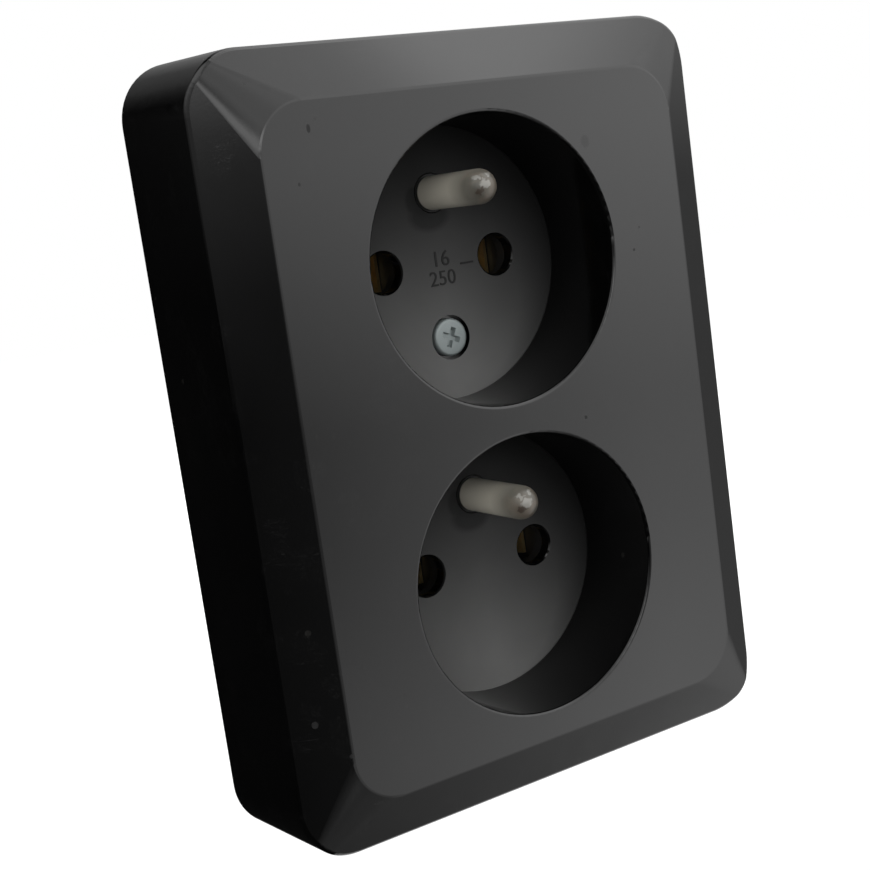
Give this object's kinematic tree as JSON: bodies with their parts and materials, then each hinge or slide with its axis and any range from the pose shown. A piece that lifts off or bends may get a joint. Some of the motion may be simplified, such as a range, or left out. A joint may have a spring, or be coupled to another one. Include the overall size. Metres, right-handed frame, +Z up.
{
  "type": "double wall socket",
  "caption": "Black wall socket: a bevelled plate with deep round recesses, earth pins and a cover screw, over a base with sprung contacts on a steel frame.",
  "frame": {"origin": "midway between the two box screws, on the wall's face", "axes": "+X to the right and +Z up as the user sees the socket, +Y into the wall, so that the plate faces -Y"},
  "size_m": [0.081, 0.0399, 0.107],
  "materials": {
    "cover_black": "satin",
    "base_grey": "matt",
    "cap_grey": "matt",
    "galvanised_steel": "galvanised",
    "zinc_screw": "bright zinc",
    "rivet_steel": "plain",
    "spring_steel": "plain",
    "contact_brass": "plain",
    "pin_nickel": "dull nickel plating over brass"
  },
  "bodies": {
    "root": {"front_cover": "cover_black", "cover_screw": "zinc_screw", "cover_screw_bush": "contact_brass", "socket_base": "base_grey", "mounting_frame": "galvanised_steel", "neutral_contact_strip": "contact_brass", "live_contact_strip": "contact_brass", "earth_strip": "contact_brass", "upper_earth_pin": "pin_nickel", "lower_earth_pin": "pin_nickel", "rear_cap": "cap_grey", "upper_cap_screw": "zinc_screw", "lower_cap_screw": "zinc_screw", "upper_live_contact_spring": "spring_steel", "lower_live_contact_spring": "spring_steel", "live_terminal_screw": "zinc_screw", "live_clamp_plate": "zinc_screw", "upper_neutral_contact_spring": "spring_steel", "lower_neutral_contact_spring": "spring_steel", "neutral_terminal_screw": "zinc_screw", "neutral_clamp_plate": "zinc_screw", "earth_terminal_screw": "zinc_screw", "earth_clamp_plate": "zinc_screw", "upper_left_frame_rivet": "rivet_steel", "lower_left_frame_rivet": "rivet_steel", "upper_right_frame_rivet": "rivet_steel", "lower_right_frame_rivet": "rivet_steel"}
  },
  "joints": []
}
